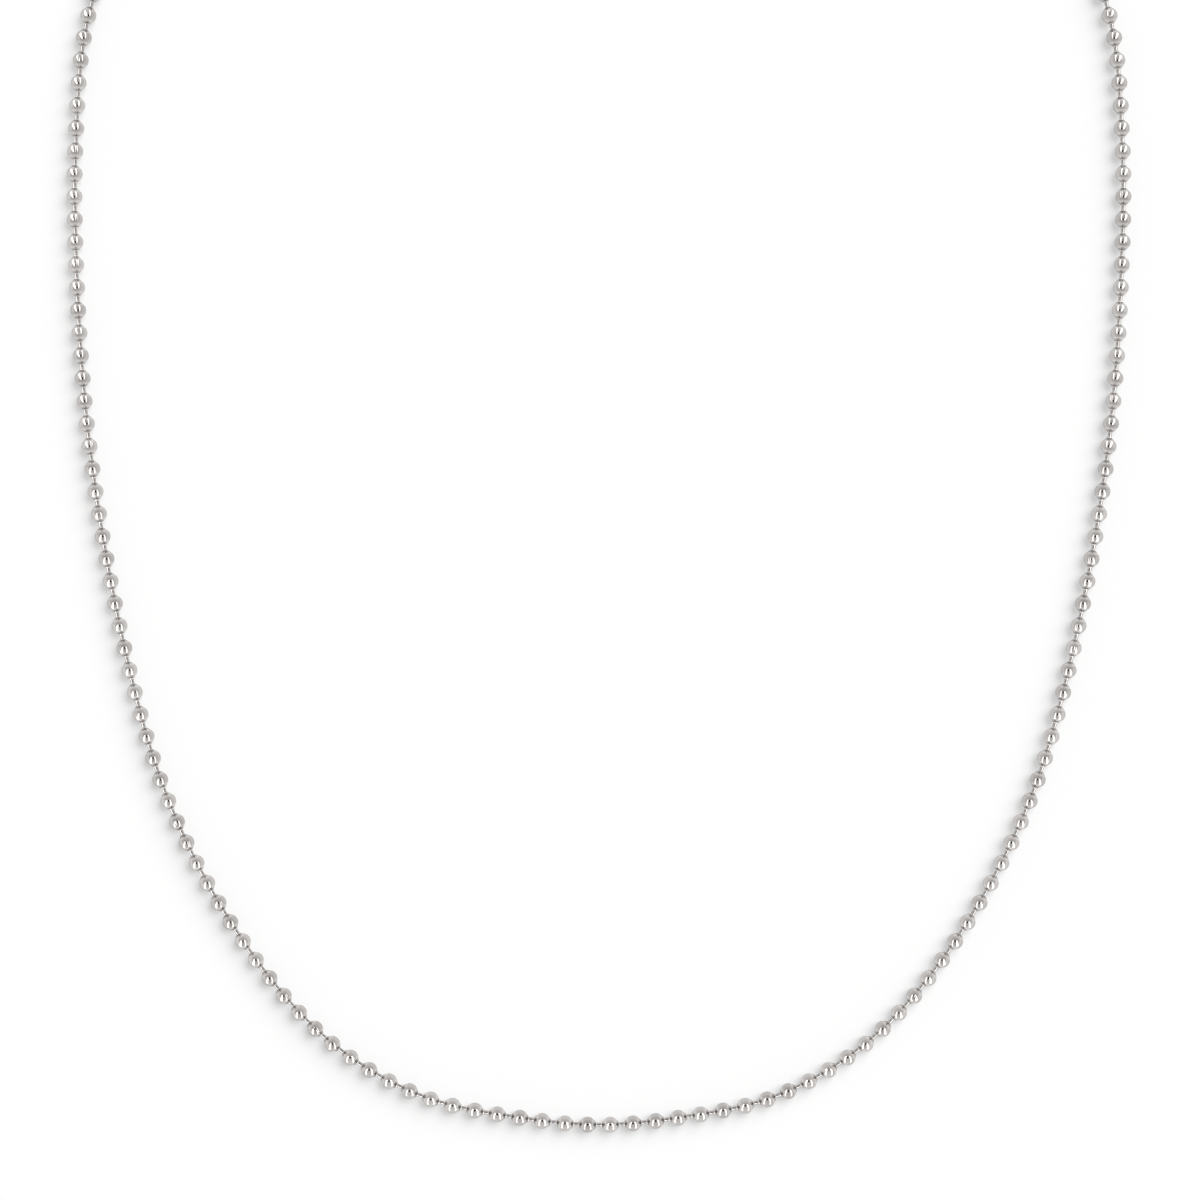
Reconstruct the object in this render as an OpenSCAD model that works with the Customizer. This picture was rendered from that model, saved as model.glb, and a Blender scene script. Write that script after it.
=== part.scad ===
// Ball chain necklace, closed and lying flat in an open loop.
// The surface it lies on is z = 0. The front of the necklace points to -Y, and the
// sleeve that closes it at the back of the neck is at +Y. It is symmetric about x = 0.

/* [Chain] */
// Length of the closed loop along the middle of the beads
chain_length = 508; // [440:2:600]
// Diameter of the round body of each bead
bead_d = 2; // [1.9:0.1:2.4]
// Gap between the round bodies of neighbouring beads
bead_gap = 0.85; // [0.75:0.05:1.1]
// Wall of each hollow bead
bead_wall = 0.2; // [0.15:0.01:0.25]
// How far a bead's two necks stand out past its round body
neck_reach = 0.15; // [0.1:0.01:0.2]
// Wall of the necks at their rims
neck_wall = 0.05; // [0.04:0.01:0.08]

/* [Link pins] */
// Diameter of the pins between the beads
pin_d = 0.46; // [0.4:0.02:0.52]
// Free space round a pin in a bead's hole, which lets the chain bend
pin_clearance = 0.16; // [0.15:0.01:0.2]
// How much wider than the hole, all round, the knob that holds a bead on its pins is
knob_grip = 0.15; // [0.06:0.01:0.2]

/* [Closing sleeve] */
// Wall of the sleeve that holds the two end beads
sleeve_wall = 0.25; // [0.2:0.01:0.35]
// Free space between an end bead and the sleeve
sleeve_clearance = 0.15; // [0.12:0.01:0.25]
// How much wider than a bead's neck, all round, the sleeve's two mouths are
mouth_margin = 0.24; // [0.22:0.01:0.3]
// Free space on both sides of a pin in the slot that runs along the sleeve
slot_clearance = 0.15; // [0.1:0.01:0.25]
// How far each lip of the window, where a bead snaps in, reaches over a bead
window_lip = 0.15; // [0.1:0.01:0.25]
// How much longer than a bead the window is
window_spare = 0.2; // [0.1:0.05:0.4]
// How much is rounded off the sleeve's outer edges
sleeve_shoulder = 0.14; // [0.08:0.01:0.2]

/* [Lay of the chain] */
// Number of beads over which the chain comes down from the sleeve to the surface
ramp_beads = 5; // [4:1:8]

/* [Hidden] */
$fn = 48;

// Right half of the loop, from the middle of the front round to the middle of the back
ROUTE = [
    [0, 0], [10, 0.9], [21.4, 3.3], [31.4, 8.6], [39.8, 16.5], [48, 28.3],
    [54.3, 41.3], [58.4, 54.9], [61.9, 71.6], [64.3, 88.4], [65.5, 105.5],
    [65.7, 122.5], [64, 139.5], [57.5, 155], [45.6, 166.7], [30.2, 173.8],
    [15.2, 175.6], [0, 175.6]
];
// Straight steps that each stretch between two points of the route is worked out in
ROUTE_STEPS = 24;

bead_r = bead_d / 2;
pin_r = pin_d / 2;
hole_r = pin_r + pin_clearance;
neck_r = hole_r + neck_wall;
neck_end = bead_r + neck_reach;
// The neck leaves the round body at this angle from the hole's axis, a little inside it
neck_angle = 50;
neck_sink = 0.05;
knob_r = hole_r + knob_grip;
cut_spare = 1;

// An even number of beads, evenly spaced, so that both halves are the same
bead_count = 2 * round(chain_length / (bead_d + bead_gap) / 2);
pitch = chain_length / bead_count;

sleeve_inner_r = bead_r + sleeve_clearance;
sleeve_r = sleeve_inner_r + sleeve_wall;
mouth_r = neck_r + mouth_margin;
// From an end bead's middle to the wall that stops it, and to the end of the sleeve
stop_reach = sqrt(pow(sleeve_inner_r, 2) - pow(mouth_r, 2));
sleeve_half = pitch / 2 + stop_reach + sleeve_wall;
sleeve_rise = sleeve_r - bead_r;

// The route runs on past both of its ends as its own mirror image
last = len(ROUTE) - 1;
function mirrored(p) = [-p.x, p.y];
function route_point(k) =
    k < 0 ? mirrored(ROUTE[-k]) : k > last ? mirrored(ROUTE[2 * last - k]) : ROUTE[k];

// A smooth curve through b and c, with a and d as the points before and after them
function between(a, b, c, d, t) =
    b + t * (c - a) / 2 + t * t * (2 * a - 5 * b + 4 * c - d) / 2
    + t * t * t * (3 * b - a - 3 * c + d) / 2;

steps_along = [
    for (k = [0 : last - 1], j = [0 : ROUTE_STEPS - 1])
        between(route_point(k - 1), route_point(k), route_point(k + 1), route_point(k + 2),
                j / ROUTE_STEPS),
    route_point(last)
];
lengths_along = [
    for (i = 0, run = 0; i < len(steps_along); i = i + 1,
         run = i < len(steps_along) ? run + norm(steps_along[i] - steps_along[i - 1]) : run) run
];
route_scale = chain_length / 2 / lengths_along[len(lengths_along) - 1];
x_along = [for (i = [0 : len(steps_along) - 1]) [lengths_along[i], steps_along[i].x]];
y_along = [for (i = [0 : len(steps_along) - 1]) [lengths_along[i], steps_along[i].y]];

// Bead 0 is the end bead on the right, and the last one is the end bead on the left
function from_end(i) = min(i, bead_count - 1 - i);
function side(i) = i < bead_count / 2 ? 1 : -1;
function run_of(i) = (chain_length / 2 - (from_end(i) + 0.5) * pitch) / route_scale;
function raw_y(i) = route_scale * lookup(run_of(i), y_along);

// The loop's box is centred on the origin: the front beads reach as far as the sleeve
back_y = raw_y(0);
front_y = min([for (i = [0 : bead_count / 2]) raw_y(i)]);
middle_y = (front_y - bead_r + back_y + sleeve_r) / 2;

function eased(t) = t * t * (3 - 2 * t);
function lift(i) = sleeve_rise * (1 - eased(min(1, from_end(i) / ramp_beads)));
centres = [
    for (i = [0 : bead_count - 1])
        [side(i) * route_scale * lookup(run_of(i), x_along), raw_y(i) - middle_y, bead_r + lift(i)]
];

// A bead's hole points to its neighbours, halfway between the two pins
function hole_line(i) = centres[(i + 1) % bead_count] - centres[(i + bead_count - 1) % bead_count];

// Turns what stands along Z so that it lies along the given line
module aim(line) {
    rotate([0, acos(line.z / norm(line)), atan2(line.y, line.x)]) children();
}

module neck_outline() {
    start = bead_r - neck_sink;
    polygon([
        [0, 0],
        [start * sin(neck_angle), start * cos(neck_angle)],
        [neck_r, neck_end],
        [0, neck_end]
    ]);
}

module bead_section() {
    difference() {
        union() {
            circle(bead_r);
            neck_outline();
            mirror([0, 1]) neck_outline();
        }
        circle(bead_r - bead_wall);
        translate([-bead_d, -bead_d]) square([bead_d + hole_r, 2 * bead_d]);
    }
}

module beads() {
    color("gainsboro")
        for (i = [0 : bead_count - 1])
            translate(centres[i])
                aim(hole_line(i))
                    rotate_extrude() bead_section();
}

// A pin runs between two neighbouring beads, and ends inside their knobs
module link_pin(line) {
    aim(line)
        translate([0, 0, knob_r / 2])
            cylinder(r = pin_r, h = norm(line) - knob_r);
}

// The knob inside a bead is where the heads of its two pins meet. It is turned so that both
// pins leave it well away from its seam.
module knob(line) {
    rotate([0, 0, atan2(line.y, line.x) + 90]) sphere(knob_r);
}

module link_pins() {
    color("silver") {
        for (i = [0 : bead_count - 1])
            translate(centres[i]) knob(hole_line(i));
        for (i = [0 : bead_count - 2])
            translate(centres[i]) link_pin(centres[i + 1] - centres[i]);
    }
}

module sleeve_body() {
    intersection() {
        cylinder(r = sleeve_r, h = 2 * sleeve_half, center = true);
        sphere(norm([sleeve_r, sleeve_half]) - sleeve_shoulder);
    }
}

// A cut from the sleeve's axis up through its top
module top_cut(long, wide) {
    translate([-long / 2, -wide / 2, 0]) cube([long, wide, sleeve_r + cut_spare]);
}

module sleeve() {
    color("lightgray")
        translate([0, centres[0].y, centres[0].z])
            difference() {
                rotate([0, 90, 0]) {
                    difference() {
                        sleeve_body();
                        cylinder(r = sleeve_inner_r, h = 2 * (sleeve_half - sleeve_wall), center = true);
                        cylinder(r = mouth_r, h = 2 * sleeve_half + cut_spare, center = true);
                    }
                }
                top_cut(2 * sleeve_half + cut_spare, pin_d + 2 * slot_clearance);
                top_cut(bead_d + window_spare, bead_d - 2 * window_lip);
            }
}

beads();
link_pins();
sleeve();
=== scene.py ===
"""Dresses the ball chain necklace: polished silver beads, link pins and the closing sleeve.

The necklace lies on white paper and is seen from straight above, as in the photograph.
"""
import math
import random
from typing import NamedTuple

import bmesh
import bpy
import numpy as np
from mathutils import Matrix, Vector


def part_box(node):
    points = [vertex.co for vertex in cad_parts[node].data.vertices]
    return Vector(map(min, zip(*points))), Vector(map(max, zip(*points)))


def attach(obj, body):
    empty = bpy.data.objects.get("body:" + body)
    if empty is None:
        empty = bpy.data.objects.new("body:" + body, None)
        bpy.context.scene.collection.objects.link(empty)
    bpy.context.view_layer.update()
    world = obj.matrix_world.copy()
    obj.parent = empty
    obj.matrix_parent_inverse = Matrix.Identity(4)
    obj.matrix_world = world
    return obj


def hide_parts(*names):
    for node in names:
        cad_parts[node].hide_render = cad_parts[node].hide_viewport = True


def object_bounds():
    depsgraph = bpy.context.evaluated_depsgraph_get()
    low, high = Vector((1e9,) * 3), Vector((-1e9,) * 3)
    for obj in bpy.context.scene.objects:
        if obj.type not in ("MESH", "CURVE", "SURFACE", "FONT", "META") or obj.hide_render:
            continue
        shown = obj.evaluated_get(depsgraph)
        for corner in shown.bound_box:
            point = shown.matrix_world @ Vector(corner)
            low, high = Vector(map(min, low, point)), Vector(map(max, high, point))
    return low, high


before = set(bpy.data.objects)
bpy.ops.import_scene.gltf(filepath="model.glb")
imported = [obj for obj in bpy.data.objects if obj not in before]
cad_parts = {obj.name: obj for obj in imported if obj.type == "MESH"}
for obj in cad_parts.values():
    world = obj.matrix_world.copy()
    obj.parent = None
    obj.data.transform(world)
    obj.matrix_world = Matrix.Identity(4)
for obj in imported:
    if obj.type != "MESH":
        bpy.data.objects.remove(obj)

CAD_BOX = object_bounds()
SCENE = bpy.context.scene
MM = 0.001
# Vertices of a solid that are nearer than this are one and the same
WELD = MM / 1000

# Beads: a hollow round body, drawn in at both ends to a neck with a rolled rim
BEAD_R = 1.0 * MM
BEAD_WALL = 0.2 * MM
# Angle up from the middle at which the round body ends and the cone to the neck begins
BODY_REACH = math.radians(46)
NECK_REACH = 1.15 * MM
NECK_R = 0.29 * MM
HOLE_R = 0.26 * MM
RIM_ROUND = 0.015 * MM
# The cone is hollow: it leaves the body along the body's own line, and comes to the neck almost
# straight, over these lengths
CONE_LEAVING = 0.36 * MM
CONE_ARRIVING = 0.1 * MM
CONE_FLARE = 0.02 * MM
# The necks' painted lightening and painted shade start here, before the round body ends
NECK_START = 0.55 * MM
# The strip that a bead is rolled from meets itself in a fine groove along the bead
SEAM_DEPTH = 0.012 * MM
SEAM_WIDE = 0.05 * MM
BEAD_SIDES = 36
BODY_POINTS = 13
CONE_POINTS = 8
INSIDE_POINTS = 9
# Seed for how clouded each bead is and how far it has turned round its own hole
BEAD_SEED = 11

# Pins: drawn wire with half a knob at each end, so that two pins share a bead's middle
PIN_R = 0.23 * MM
KNOB_R = 0.54 * MM
# From a bead's middle to the flat of each half knob in it
KNOB_GAP = 0.03 * MM
PIN_SIDES = 16
KNOB_POINTS = 6
PIN_SHADE = 0.5

# Sleeve: one rolled sheet, open along its top in a slot that widens to a window
SLEEVE_WALL = 0.25 * MM
SHOULDER_R = 0.3 * MM
MOUTH_R = 0.68 * MM
# Half the width of the slot, and half the width and half the length of the window
SLOT_HALF = 0.38 * MM
WINDOW_HALF = 0.85 * MM
WINDOW_REACH = 1.1 * MM
# Length over which the window narrows to the slot
WINDOW_CORNER = 0.12 * MM
LIP_ROUND = 0.06 * MM
LIP_SEGMENTS = 3
# An edge that turns by more than this is a lip and is rounded
LIP_ANGLE = math.radians(50)
SLEEVE_SIDES = 72
TUBE_POINTS = 36
SHOULDER_POINTS = 7
END_WALL_POINTS = 4
SLEEVE_SHADE = 0.4

# The photograph's frame: a square seen from straight above, with a long lens
FRAME_PX = 1200
MM_PER_PX = 0.12545
# Column of the loop's middle line, and row of the middles of the beads at its front
AXIS_PX = 599.0
FRONT_PX = 1124.7
LENS_MM = 100
SENSOR_MM = 36
CLIP_START = 0.01
CLIP_END = 20
# Above this row the beads take the light from the back, below it from the front
LIGHT_CHANGE_PX = 466
# Below this row the chain runs across the photograph
BOTTOM_PX = 1050


class Finish(NamedTuple):
    """A finish of silver."""

    name: str
    # Colour of the clean metal, and of the clouded metal
    clean: tuple
    dull: tuple
    # How much of its brightness is left where it is seen edge on
    edge: float
    lowest_roughness: float
    highest_roughness: float
    # How fine the polishing marks are along the piece's own X, Y and Z
    marks_scale: tuple
    marks_depth: float


BEAD_FINISH = Finish(
    name="polished_silver",
    clean=(0.581, 0.563, 0.547),
    dull=(0.395, 0.38, 0.369),
    edge=0.9,
    lowest_roughness=0.03,
    highest_roughness=0.08,
    marks_scale=(1500.0, 1500.0, 6000.0),
    marks_depth=0.003 * MM,
)
# The pins are rougher drawn wire, and their metal is painted darker than the beads' as painted shade
# on their sides
PIN_FINISH = Finish(
    name="drawn_silver_shaded",
    clean=(0.49, 0.474, 0.465),
    dull=(0.37, 0.357, 0.349),
    edge=0.2,
    lowest_roughness=0.08,
    highest_roughness=0.16,
    marks_scale=(9000.0, 9000.0, 500.0),
    marks_depth=0.006 * MM,
)
SLEEVE_FINISH = Finish(
    name="rolled_silver",
    clean=(0.581, 0.563, 0.547),
    dull=(0.46, 0.444, 0.433),
    edge=0.9,
    lowest_roughness=0.08,
    highest_roughness=0.18,
    marks_scale=(900.0, 900.0, 7000.0),
    marks_depth=0.004 * MM,
)

# What all silver has in common. Scales of noise are in steps to the metre.
CLOUD_SCALE = 700.0
CLOUD_DETAIL = 4.0
PATCH_SCALE = 5200.0
PATCH_DETAIL = 3.0
MARKS_DETAIL = 4.0
MARKS_STRENGTH = 0.15
# Colour of the seam's tarnish and of the painted shade in the neck creases
TARNISH_AND_SHADE = (0.2, 0.165, 0.15)
# Colour of the painted lightening on the necks
NECK_LIGHT_COLOUR = (0.8, 0.785, 0.775)
# Painted lightening on the necks, and painted shade in their creases, from where a neck's
# painted light and shade start (0) to its rim (1)
PAINTED_NECK_LIGHT = ((0.0, 0.0), (0.12, 0.45), (0.3, 0.35), (0.46, 0.0), (0.78, 0.15), (0.88, 0.5))
CREASE_SHADE = ((0.0, 0.0), (0.52, 0.0), (0.63, 0.66), (0.73, 0.66), (0.82, 0.1), (0.9, 0.0))
SEAM_TARNISH = 0.5
# The painted crease shade and the seam's tarnish are patchy: this much of them is everywhere,
# and noise patches add up to this much more
DARKENING_LEAST = 0.35
DARKENING_BY_PATCHES = 0.9
# How much of the roughness comes from the marks, and how much from the clouding
ROUGH_BY_MARKS = 0.6
ROUGH_BY_SHADE = 0.4

# White paper lit a little from beneath, as on a light table
PAPER_COLOUR = (0.3, 0.3, 0.3)
PAPER_GLOW = 0.43
PAPER_ROUGHNESS = 0.9
PAPER_SHINE = 0.1
TOOTH_SCALE = 1200.0
TOOTH_DETAIL = 3.0
TOOTH_STRENGTH = 0.03
TOOTH_DEPTH = 0.02 * MM
PAPER_SIZE = 6.0
# The paper lies this far under the chain, so that the two never share a plane
PAPER_DROP = 0.02 * MM

# Brightness of the dome by height, from the horizon up to straight above
DOME = ((0.0, 0.9), (0.25, 0.88), (0.5, 0.8), (0.8, 0.62), (1.0, 0.56))
DOME_TINT = (1.0, 0.985, 0.98)

# The key light is large and soft, and it lights the paper alone
KEY_FROM = (0.74, 0.68, 1.0)
KEY_SPREAD = math.radians(55)
KEY_ENERGY = 5.35

# The dark disc that stands for the camera in reflections
LENS_MARK_R = 0.11
LENS_MARK_SIDES = 48
LENS_BLACK = (0.01, 0.01, 0.01)
LENS_ROUGHNESS = 0.8


class Softbox(NamedTuple):
    """A rectangular softbox that faces the chain."""

    # Direction in which it stands, seen from the chain
    towards: tuple
    # The way its long side runs
    along: tuple
    # Both are shares of its distance
    length: float
    width: float
    radiance: float


# How far from the chain every softbox stands
SOFTBOX_REACH = 3.0
# Each stretch of the chain has softboxes of its own. Those of the back and the front are for the
# right-hand side, and are mirrored for the left.
SOFTBOXES = {
    # The wide outer highlight, the narrow inner one, and a glow on the outer flank
    "beads_back": (
        Softbox((0.55, 0.36, 0.75), (0.23, 0.8, -0.55), 2.04, 0.44, 2.4),
        Softbox((-0.49, 0.5, 0.71), (0.2, 0.86, -0.46), 2.05, 0.27, 2.2),
        Softbox((0.85, 0.4, 0.36), (0.42, -0.9, 0), 1.8, 0.8, 0.22),
    ),
    "beads_front": (
        Softbox((0.43, -0.51, 0.74), (0.07, -0.81, -0.58), 2.15, 0.47, 2.4),
        Softbox((-0.66, -0.37, 0.65), (-0.01, -0.87, -0.5), 2.05, 0.26, 2.2),
        Softbox((0.85, -0.4, 0.36), (0.42, 0.9, 0), 1.8, 0.8, 0.22),
    ),
    # Two highlights, a fill beside each, one overhead, and a low glow in front
    "beads_bottom": (
        Softbox((0.65, -0.31, 0.69), (0.08, -0.88, -0.47), 2.25, 0.31, 2.4),
        Softbox((-0.65, -0.31, 0.69), (-0.08, -0.88, -0.47), 2.25, 0.31, 2.4),
        Softbox((0.7, 0, 0.71), (0, 1, 0), 0.5, 0.6, 0.45),
        Softbox((-0.7, 0, 0.71), (0, 1, 0), 0.5, 0.6, 0.45),
        Softbox((0, -0.36, 0.93), (0, 0.93, 0.36), 1.3, 1.0, 0.24),
        Softbox((0, -0.9, 0.3), (1, 0, 0), 2.2, 0.7, 0.15),
    ),
    # A streak along the outer side of the pins, and a fill from above
    "pins_back": (
        Softbox((0.8, 0, 0.6), (0, 1, 0), 2.8, 0.42, 4.0),
        Softbox((0.1, 0, 1), (0, 1, 0), 2.0, 0.9, 0.5),
    ),
    "pins_front": (
        Softbox((0.74, -0.3, 0.6), (0.37, 0.93, 0), 2.8, 0.42, 4.2),
        Softbox((0.1, 0, 1), (0, 1, 0), 2.0, 0.9, 0.5),
    ),
    # The streak is dim where the chain runs straight across, and bright to both sides of that
    "pins_bottom": (
        Softbox((0, -0.82, 0.57), (1, 0, 0), 0.44, 0.36, 1.6),
        Softbox((0.47, -0.67, 0.6), (0.82, 0.57, 0), 0.64, 0.42, 4.4),
        Softbox((-0.47, -0.67, 0.6), (-0.82, 0.57, 0), 0.64, 0.42, 4.4),
        Softbox((0, -0.1, 1), (1, 0, 0), 2.0, 0.9, 0.1),
    ),
    # One streak along the back of the sleeve and one along its front
    "closing_sleeve": (
        Softbox((0.2, 0.62, 0.78), (1, 0, 0), 2.2, 0.42, 2.2),
        Softbox((-0.2, -0.8, 0.58), (1, 0, 0), 2.0, 0.26, 1.8),
    ),
}


# Reading the chain's lay from the frame

def connected(start, seen):
    """The positions of all vertices that edges join to start, which are added to seen."""
    seen.add(start)
    found = []
    todo = [start]
    while todo:
        vertex = todo.pop()
        found.append(vertex.co.copy())
        for edge in vertex.link_edges:
            other = edge.other_vert(vertex)
            if other not in seen:
                seen.add(other)
                todo.append(other)
    return found


def solids(node):
    """The vertex positions of each separate solid in a node of the frame."""
    bm = bmesh.new()
    bm.from_mesh(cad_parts[node].data)
    bmesh.ops.remove_doubles(bm, verts=bm.verts, dist=WELD)
    seen = set()
    found = [connected(vertex, seen) for vertex in bm.verts if vertex not in seen]
    bm.free()
    return found


def box_middle(points):
    low = [min(p[k] for p in points) for k in range(3)]
    high = [max(p[k] for p in points) for k in range(3)]
    return (Vector(low) + Vector(high)) / 2


def bead_middles():
    """The beads' middles in order along the chain, from one end bead in the sleeve to the other."""
    left = [box_middle(points) for points in solids("beads")]
    low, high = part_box("sleeve")
    # The first end bead is in the right-hand half of the sleeve
    start = (low + high) / 2 + Vector((high.x - low.x, 0, 0)) / 4
    at = min(left, key=lambda p: (p - start).length)
    left.remove(at)
    chain = [at]
    towards = Vector((1, 0, 0))
    while left:
        near = sorted(left, key=lambda p: (p - at).length)[:2]
        step = max(near, key=lambda p: (p - at).normalized().dot(towards))
        towards = (step - at).normalized()
        at = step
        left.remove(at)
        chain.append(at)
    return chain


def photo_y(row):
    """The frame's Y of a row of the photograph, in metres."""
    low, _ = CAD_BOX
    return low[1] + BEAD_R + (FRONT_PX - row) * MM_PER_PX * MM


def stretch(kind, p):
    """The name of the piece of beads or pins that holds the one at p."""
    if p.y < photo_y(BOTTOM_PX):
        return f"{kind}_bottom"
    depth = "back" if p.y > photo_y(LIGHT_CHANGE_PX) else "front"
    side = "left" if p.x < 0 else "right"
    return f"{kind}_{depth}_{side}"


def in_stretches(kind, places):
    """The numbers of the beads or pins at these places, by the name of their piece."""
    found = {}
    for i, p in enumerate(places):
        found.setdefault(stretch(kind, p), []).append(i)
    return found


# Making meshes

class Part(NamedTuple):
    """What a mesh is joined from."""

    points: np.ndarray
    faces: list
    place: Matrix
    # What the materials read, as a number for all points, or a number or vector for each:
    # neck, how far out on a neck it is; seam, 1 in the groove; shade, how clouded the metal is;
    # local, its place before the part is turned and moved
    facts: dict


def add_attribute(mesh, name, values):
    if values.ndim == 2:
        layer = mesh.attributes.new(name, "FLOAT_VECTOR", "POINT")
        layer.data.foreach_set("vector", values.ravel())
    else:
        layer = mesh.attributes.new(name, "FLOAT", "POINT")
        layer.data.foreach_set("value", values)


def face_outwards(mesh):
    bm = bmesh.new()
    bm.from_mesh(mesh)
    bmesh.ops.recalc_face_normals(bm, faces=bm.faces)
    bm.to_mesh(mesh)
    bm.free()


def joined(name, parts):
    """One object made of all the parts."""
    points, faces, facts = [], [], {}
    count = 0
    for part in parts:
        size = len(part.points)
        place = np.array(part.place)
        points.append(part.points @ place[:3, :3].T + place[:3, 3])
        faces += [tuple(count + v for v in face) for face in part.faces]
        for key, value in part.facts.items():
            shape = (size, 3) if np.ndim(value) == 2 else (size,)
            facts.setdefault(key, []).append(np.broadcast_to(value, shape))
        count += size
    mesh = bpy.data.meshes.new(name)
    mesh.from_pydata(np.concatenate(points).tolist(), [], faces)
    for key, values in facts.items():
        add_attribute(mesh, key, np.concatenate(values).astype(np.float32))
    face_outwards(mesh)
    mesh.shade_smooth()
    obj = bpy.data.objects.new(name, mesh)
    SCENE.collection.objects.link(obj)
    return obj


def turned(line):
    """A rotation that lays what stands along Z along the given line."""
    return Vector((0, 0, 1)).rotation_difference(line.normalized()).to_matrix().to_4x4()


def arc(radius, start, end, steps):
    """Points (radius, height) on a circle, by their angle up from the level through its middle."""
    return [(radius * math.cos(a), radius * math.sin(a)) for a in np.linspace(start, end, steps)]


def bezier(a, b, c, d, steps):
    """Points on the curve from a to d, without a itself."""
    return [
        tuple((1 - t) ** 3 * p + 3 * t * (1 - t) ** 2 * q + 3 * t * t * (1 - t) * r + t ** 3 * s
              for p, q, r, s in zip(a, b, c, d))
        for t in np.linspace(0, 1, steps + 1)[1:]
    ]


def eased(t):
    """A smooth step as t goes from 0 to 1."""
    return t * t * (3 - 2 * t)


def lathe(profile, angles, capped=False):
    """Points and faces of a profile of (radius, height) turned round Z.

    The profile closes on itself, or its two ends are capped with flat faces.
    """
    points = [(r * math.cos(a), r * math.sin(a), z) for r, z in profile for a in angles]
    sides = len(angles)
    last = len(profile) - 1
    faces = []
    for i in range(last if capped else last + 1):
        ring = i * sides
        after = (i + 1) % len(profile) * sides
        for k in range(sides):
            m = (k + 1) % sides
            faces.append((ring + k, ring + m, after + m, after + k))
    if capped:
        faces += [tuple(range(sides)), tuple(range(last * sides, last * sides + sides))]
    return np.array(points), faces


# Beads

def bead_profile():
    """A bead's outline as (radius, height): body, slightly hollow cones, rolled rims, inside."""
    body = arc(BEAD_R, -BODY_REACH, BODY_REACH, BODY_POINTS)
    r0, z0 = body[-1]
    rim_z = NECK_REACH - RIM_ROUND
    leaving = (
        r0 - CONE_LEAVING * math.sin(BODY_REACH),
        z0 + CONE_LEAVING * math.cos(BODY_REACH),
    )
    arriving = (NECK_R + CONE_FLARE, rim_z - CONE_ARRIVING)
    cone = bezier((r0, z0), leaving, arriving, (NECK_R, rim_z), CONE_POINTS)
    rim = [((NECK_R + HOLE_R) / 2, NECK_REACH), (HOLE_R, rim_z)]
    upper = cone + rim
    lower = [(r, -z) for r, z in reversed(upper)]
    inside_r = BEAD_R - BEAD_WALL
    inside_reach = math.acos(HOLE_R / inside_r)
    inside = arc(inside_r, inside_reach, -inside_reach, INSIDE_POINTS)
    return lower + body + upper + inside


def bead_parts(middles, chosen):
    """The beads at the chosen places, each turned by chance round its own hole."""
    count = len(middles)
    chance = random.Random(BEAD_SEED)
    shades = [chance.random() for _ in middles]
    spins = [chance.uniform(0, math.tau) for _ in middles]
    # The first angle is the bottom of the seam's groove, and its two neighbours are the lips
    lip = SEAM_WIDE / 2 / BEAD_R
    angles = [0.0] + list(np.linspace(lip, math.tau - lip, BEAD_SIDES - 1))
    points, faces = lathe(bead_profile(), angles)
    outside = np.linalg.norm(points, axis=1) > BEAD_R - BEAD_WALL / 2
    groove = outside & (np.arange(len(points)) % BEAD_SIDES == 0)
    local = points.copy()
    points[groove, :2] *= 1 - SEAM_DEPTH / BEAD_R
    neck = np.clip((np.abs(points[:, 2]) - NECK_START) / (NECK_REACH - NECK_START), 0, 1)
    parts = []
    for i in chosen:
        line = middles[(i + 1) % count] - middles[(i - 1) % count]
        place = Matrix.Translation(middles[i]) @ turned(line) @ Matrix.Rotation(spins[i], 4, "Z")
        facts = {"neck": neck, "shade": shades[i], "seam": 1.0 * groove, "local": local}
        parts.append(Part(points, faces, place, facts))
    return parts


# Pins

def pin_profile(length):
    """A link pin's outline from the middle of one bead to the middle of the next."""
    start = math.asin(KNOB_GAP / KNOB_R)
    end = math.acos(PIN_R / KNOB_R)
    one = arc(KNOB_R, start, end, KNOB_POINTS)
    other = [(r, length - z) for r, z in reversed(one)]
    return one + other


def pin_parts(middles, chosen):
    """The pins that leave the beads at the chosen places for the next ones."""
    angles = np.linspace(0, math.tau, PIN_SIDES, endpoint=False)
    parts = []
    for i in chosen:
        line = middles[i + 1] - middles[i]
        points, faces = lathe(pin_profile(line.length), angles, capped=True)
        facts = {"neck": 0.0, "shade": PIN_SHADE, "seam": 0.0, "local": points}
        parts.append(Part(points, faces, Matrix.Translation(middles[i]) @ turned(line), facts))
    return parts


# Sleeve

def sleeve_profile(radius, half):
    """The sleeve's outline as (radius, place along its axis), from mouth to mouth."""
    tube = [(radius, x) for x in np.linspace(0, half - SHOULDER_R, TUBE_POINTS + 1)[:-1]]
    shoulder = [
        (radius - SHOULDER_R + r, half - SHOULDER_R + x)
        for r, x in arc(SHOULDER_R, 0, math.pi / 2, SHOULDER_POINTS)
    ]
    wall_r, _ = shoulder[-1]
    wall = [(r, half) for r in np.linspace(wall_r, MOUTH_R, END_WALL_POINTS + 1)[1:]]
    one = tube + shoulder + wall
    return [(r, -x) for r, x in reversed(one[1:])] + one


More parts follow.
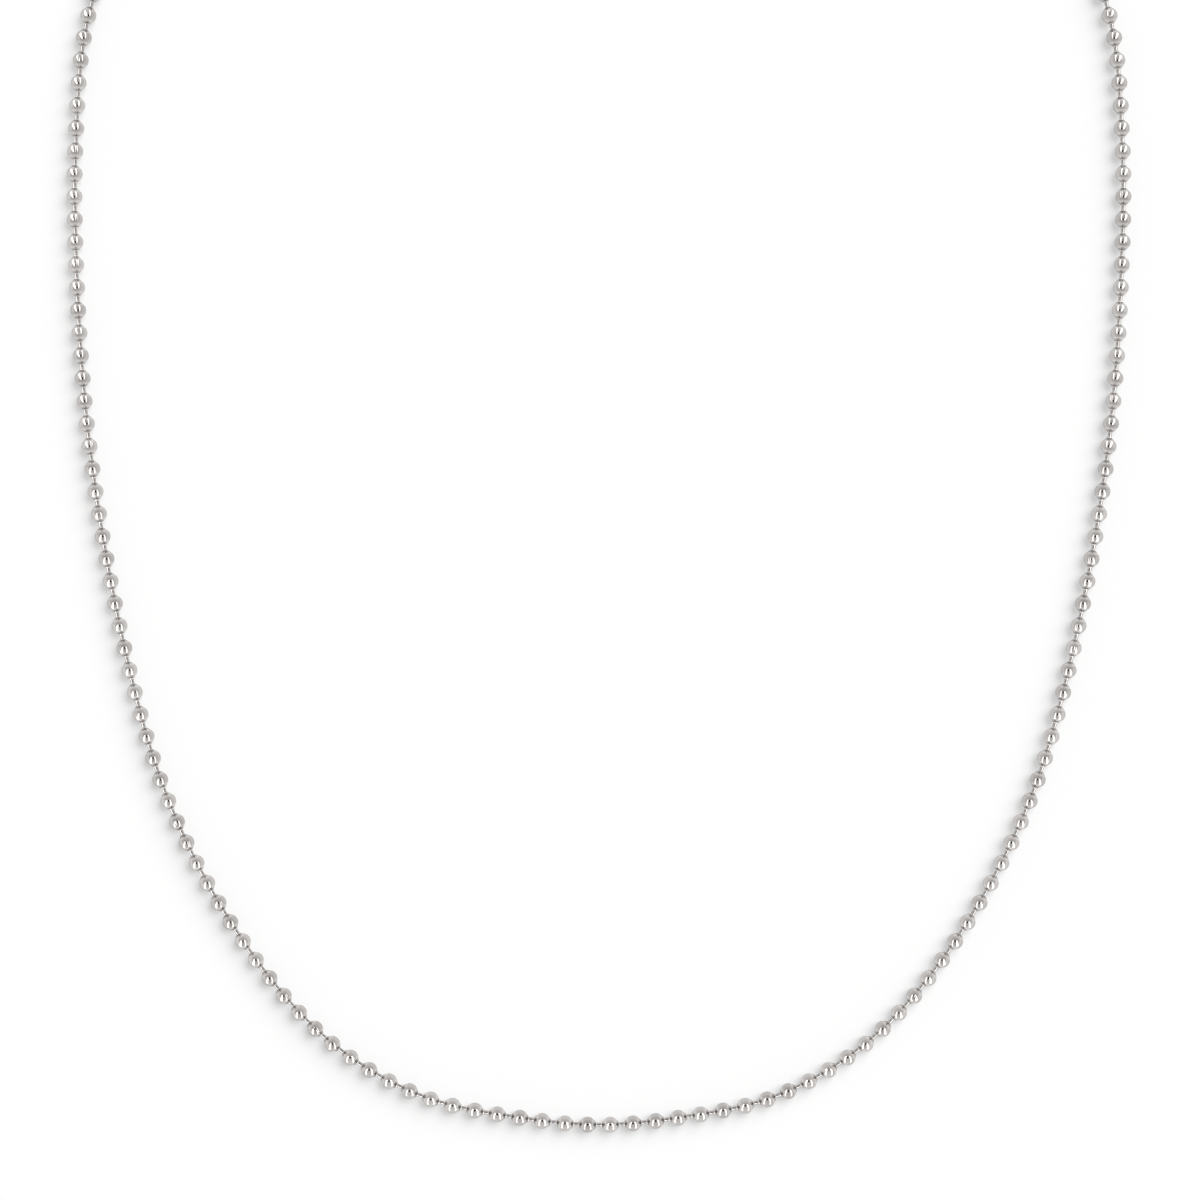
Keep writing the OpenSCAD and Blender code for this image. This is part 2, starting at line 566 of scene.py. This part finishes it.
def sleeve_sheet():
    """The sleeve's outer face as one open sheet, rolled round its axis from lip to lip."""
    low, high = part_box("sleeve")
    radius = (high.y - low.y) / 2
    axis = Vector(((low.x + high.x) / 2, (low.y + high.y) / 2, low.z + radius))
    profile = sleeve_profile(radius, (high.x - low.x) / 2)
    points, local = [], []
    for r, x in profile:
        past_window = (abs(x) - WINDOW_REACH) / WINDOW_CORNER + 0.5
        narrowed = eased(min(1, max(0, past_window)))
        opening = WINDOW_HALF + (SLOT_HALF - WINDOW_HALF) * narrowed
        lip = math.asin(opening / r)
        for a in np.linspace(lip, math.tau - lip, SLEEVE_SIDES + 1):
            points.append((x, r * math.sin(a), r * math.cos(a)))
            local.append((radius * math.cos(a), radius * math.sin(a), x))
    row = SLEEVE_SIDES + 1
    faces = [
        (i * row + k, i * row + k + 1, (i + 1) * row + k + 1, (i + 1) * row + k)
        for i in range(len(profile) - 1)
        for k in range(SLEEVE_SIDES)
    ]
    facts = {"neck": 0.0, "shade": SLEEVE_SHADE, "seam": 0.0, "local": np.array(local)}
    return Part(np.array(points), faces, Matrix.Translation(axis), facts)


def thicken(obj):
    """Gives the sheet its wall, inwards, and rounds its lips."""
    wall = obj.modifiers.new("wall", "SOLIDIFY")
    wall.thickness = SLEEVE_WALL
    wall.offset = -1
    wall.use_even_offset = True
    lips = obj.modifiers.new("lips", "BEVEL")
    lips.width = LIP_ROUND
    lips.segments = LIP_SEGMENTS
    lips.limit_method = "ANGLE"
    lips.angle_limit = LIP_ANGLE
    lips.harden_normals = False
    bpy.context.view_layer.objects.active = obj
    for name in ("wall", "lips"):
        bpy.ops.object.modifier_apply(modifier=name)
    obj.data.shade_smooth()


# Materials

def fill_ramp(ramp, stops):
    """Sets a colour ramp's stops from (position, colour)."""
    while len(ramp.elements) < len(stops):
        ramp.elements.new(1.0)
    for element, (position, colour) in zip(ramp.elements, stops):
        element.position = position
        element.color = (*colour, 1)


class Nodes:
    """A short way to add and link the nodes of a material. A value is a number or (node, output)."""

    def __init__(self, name):
        self.material = bpy.data.materials.new(name)
        self.material.use_nodes = True
        self.tree = self.material.node_tree
        self.tree.nodes.clear()
        self.shader = self.add("ShaderNodeBsdfPrincipled")
        out = self.add("ShaderNodeOutputMaterial")
        self.link((self.shader, "BSDF"), out, "Surface")

    def add(self, kind, values=None, **settings):
        node = self.tree.nodes.new(kind)
        for key, value in settings.items():
            setattr(node, key, value)
        for key, value in (values or {}).items():
            node.inputs[key].default_value = value
        return node

    def link(self, value, node, socket):
        source, output = value
        self.tree.links.new(source.outputs[output], node.inputs[socket])

    def shade(self, values):
        """Sets the shader's own sockets."""
        for key, value in values.items():
            self.shader.inputs[key].default_value = value

    def place(self):
        return self.add("ShaderNodeTexCoord"), "Object"

    def attribute(self, name, output="Fac"):
        return self.add("ShaderNodeAttribute", attribute_name=name), output

    def noise(self, place, scale, detail):
        node = self.add("ShaderNodeTexNoise", {"Scale": scale, "Detail": detail})
        self.link(place, node, "Vector")
        return node, "Fac"

    def stretched(self, place, scale):
        node = self.add("ShaderNodeMapping", {"Scale": scale})
        self.link(place, node, "Vector")
        return node, "Vector"

    def ramp(self, value, stops):
        node = self.add("ShaderNodeValToRGB")
        fill_ramp(node.color_ramp, [(position, (grey,) * 3) for position, grey in stops])
        self.link(value, node, "Fac")
        return node, "Color"

    def between(self, value, low, high):
        """Takes a value from 0 to 1 to one from low to high."""
        node = self.add("ShaderNodeMapRange", {"To Min": low, "To Max": high})
        self.link(value, node, "Value")
        return node, "Result"

    def maths(self, operation, *values):
        node = self.add("ShaderNodeMath", operation=operation)
        for socket, value in enumerate(values):
            if isinstance(value, tuple):
                self.link(value, node, socket)
            else:
                node.inputs[socket].default_value = value
        return node, "Value"

    def mix(self, factor, a, b):
        """A colour between a and b, each a colour or (node, output)."""
        node = self.add("ShaderNodeMix", data_type="RGBA", clamp_factor=True)
        self.link(factor, node, "Factor")
        for socket, value in (("A", a), ("B", b)):
            if isinstance(value[0], float):
                node.inputs[socket].default_value = (*value, 1)
            else:
                self.link(value, node, socket)
        return node, "Result"

    def bump(self, height, strength, depth):
        node = self.add("ShaderNodeBump", {"Strength": strength, "Distance": depth})
        self.link(height, node, "Height")
        self.link((node, "Normal"), self.shader, "Normal")


def silver(finish):
    """Silver with polishing marks, clouding, seam tarnish, and painted light and shade on the necks.
    """
    n = Nodes(finish.name)
    place = n.place()
    shade = n.attribute("shade")
    neck = n.attribute("neck")

    # Clouding differs from bead to bead and over each of them
    cloud = n.noise(place, CLOUD_SCALE, CLOUD_DETAIL)
    clean = n.mix(n.maths("MULTIPLY", cloud, shade), finish.clean, finish.dull)
    # Painted lightening on the necks and painted shade in their creases; tarnish in the seam
    neck_lit = n.mix(n.ramp(neck, PAINTED_NECK_LIGHT), clean, NECK_LIGHT_COLOUR)
    seam = n.maths("MULTIPLY", n.attribute("seam"), SEAM_TARNISH)
    crease_shade_and_seam = n.maths("MAXIMUM", n.ramp(neck, CREASE_SHADE), seam)
    patches = n.noise(place, PATCH_SCALE, PATCH_DETAIL)
    patchy = n.maths("MULTIPLY_ADD", patches, DARKENING_BY_PATCHES, DARKENING_LEAST)
    colour = n.mix(n.maths("MULTIPLY", crease_shade_and_seam, patchy), neck_lit, TARNISH_AND_SHADE)
    n.link(colour, n.shader, "Base Color")

    own_place = n.stretched(n.attribute("local", "Vector"), finish.marks_scale)
    marks = n.noise(own_place, 1.0, MARKS_DETAIL)
    by_shade = n.maths("MULTIPLY", shade, ROUGH_BY_SHADE)
    rough = n.maths("MULTIPLY_ADD", marks, ROUGH_BY_MARKS, by_shade)
    roughness = n.between(rough, finish.lowest_roughness, finish.highest_roughness)
    n.link(roughness, n.shader, "Roughness")
    n.bump(marks, MARKS_STRENGTH, finish.marks_depth)
    n.shade({"Metallic": 1.0, "Specular Tint": (finish.edge, finish.edge, finish.edge, 1)})
    return n.material


def paper(name):
    """Seamless white background paper with a barely visible tooth."""
    n = Nodes(name)
    n.bump(n.noise(n.place(), TOOTH_SCALE, TOOTH_DETAIL), TOOTH_STRENGTH, TOOTH_DEPTH)
    n.shade({
        "Base Color": (*PAPER_COLOUR, 1),
        "Roughness": PAPER_ROUGHNESS,
        "Specular IOR Level": PAPER_SHINE,
        "Emission Color": (1, 1, 1, 1),
        "Emission Strength": PAPER_GLOW,
    })
    return n.material


def lens_black(name):
    n = Nodes(name)
    n.shade({"Base Color": (*LENS_BLACK, 1), "Roughness": LENS_ROUGHNESS})
    return n.material


# The pieces

def finish_piece(piece, material, node):
    piece.data.materials.append(material)
    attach(piece, "root")
    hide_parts(node)
    return piece


def make_pieces():
    """All the visible pieces by name, in place of the frame's solids."""
    bead_metal = silver(BEAD_FINISH)
    pin_metal = silver(PIN_FINISH)
    sleeve_metal = silver(SLEEVE_FINISH)
    middles = bead_middles()
    halfway = [(a + b) / 2 for a, b in zip(middles, middles[1:])]
    pieces = {}
    for name, chosen in in_stretches("beads", middles).items():
        beads = joined(name, bead_parts(middles, chosen))
        pieces[name] = finish_piece(beads, bead_metal, "beads")
    for name, chosen in in_stretches("pins", halfway).items():
        pins = joined(name, pin_parts(middles, chosen))
        pieces[name] = finish_piece(pins, pin_metal, "link_pins")
    sleeve = joined("closing_sleeve", [sleeve_sheet()])
    thicken(sleeve)
    pieces["closing_sleeve"] = finish_piece(sleeve, sleeve_metal, "sleeve")
    return pieces


# The studio

def add_floor():
    bpy.ops.mesh.primitive_plane_add(size=PAPER_SIZE, location=(0, 0, -PAPER_DROP))
    floor = bpy.context.object
    floor.name = "floor"
    floor.data.materials.append(paper("white_paper"))
    return floor


def add_world():
    """A soft grey dome: darker overhead, lighter towards the horizon."""
    SCENE.world = bpy.data.worlds.new("studio")
    SCENE.world.use_nodes = True
    tree = SCENE.world.node_tree
    background = tree.nodes["Background"]
    place = tree.nodes.new("ShaderNodeTexCoord")
    split = tree.nodes.new("ShaderNodeSeparateXYZ")
    ramp = tree.nodes.new("ShaderNodeValToRGB")
    tree.links.new(place.outputs["Generated"], split.inputs["Vector"])
    tree.links.new(split.outputs["Z"], ramp.inputs["Fac"])
    tree.links.new(ramp.outputs["Color"], background.inputs["Color"])
    stops = [(height, [brightness * k for k in DOME_TINT]) for height, brightness in DOME]
    fill_ramp(ramp.color_ramp, stops)


def add_camera():
    lens = bpy.data.cameras.new("camera")
    lens.lens = LENS_MM
    lens.sensor_width = SENSOR_MM
    lens.clip_start = CLIP_START
    lens.clip_end = CLIP_END
    camera = bpy.data.objects.new("camera", lens)
    SCENE.collection.objects.link(camera)
    width = FRAME_PX * MM_PER_PX * MM
    height = BEAD_R + width * LENS_MM / SENSOR_MM
    middle = FRAME_PX / 2
    camera.location = ((middle - AXIS_PX) * MM_PER_PX * MM, photo_y(middle), height)
    SCENE.camera = camera
    return camera


def add_lens_mark(camera):
    """A dark disc at the camera's place, seen only as a dot in the middle of each bead."""
    bpy.ops.mesh.primitive_circle_add(
        vertices=LENS_MARK_SIDES, radius=LENS_MARK_R, fill_type="NGON", location=camera.location)
    mark = bpy.context.object
    mark.name = "lens_mark"
    mark.data.materials.append(lens_black("lens_black"))
    mark.visible_camera = False
    mark.visible_shadow = False
    mark.visible_diffuse = False


def receiver(obj):
    """A collection of one object, for the lights that shine on it alone."""
    lit = bpy.data.collections.new(f"lit_{obj.name}")
    lit.objects.link(obj)
    return lit


def add_light(name, kind, lit, **settings):
    """A light that shines on the objects in the collection lit, and on nothing else."""
    lamp = bpy.data.lights.new(name, kind)
    for key, value in settings.items():
        setattr(lamp, key, value)
    light = bpy.data.objects.new(name, lamp)
    SCENE.collection.objects.link(light)
    light.visible_camera = False
    light.light_linking.receiver_collection = lit
    return light


def add_softbox(name, box, mirror, lit):
    """mirror holds -1 or 1 for each axis."""
    facing = (mirror * Vector(box.towards)).normalized()
    tall = mirror * Vector(box.along)
    tall = (tall - facing * tall.dot(facing)).normalized()
    wide = tall.cross(facing)
    width = box.width * SOFTBOX_REACH
    length = box.length * SOFTBOX_REACH
    light = add_light(name, "AREA", lit, shape="RECTANGLE", size=width, size_y=length)
    light.data.energy = box.radiance * math.pi * width * length
    turn = Matrix((wide, tall, facing)).transposed().to_4x4()
    light.matrix_world = Matrix.Translation(facing * SOFTBOX_REACH) @ turn


def add_softboxes(pieces):
    """Each piece's softboxes, which shine on that piece alone."""
    for name, piece in pieces.items():
        lit = receiver(piece)
        kind = name.removesuffix("_left").removesuffix("_right")
        mirror = Vector((-1 if name.endswith("_left") else 1, 1, 1))
        for k, box in enumerate(SOFTBOXES[kind]):
            add_softbox(f"box_{k}_{name}", box, mirror, lit)


def add_key(floor):
    key = add_light("key", "SUN", receiver(floor), energy=KEY_ENERGY, angle=KEY_SPREAD)
    key.rotation_euler = Vector(KEY_FROM).to_track_quat("Z", "Y").to_euler()


pieces = make_pieces()
floor = add_floor()
add_world()
add_lens_mark(add_camera())
add_softboxes(pieces)
add_key(floor)
SCENE.view_settings.view_transform = "Standard"
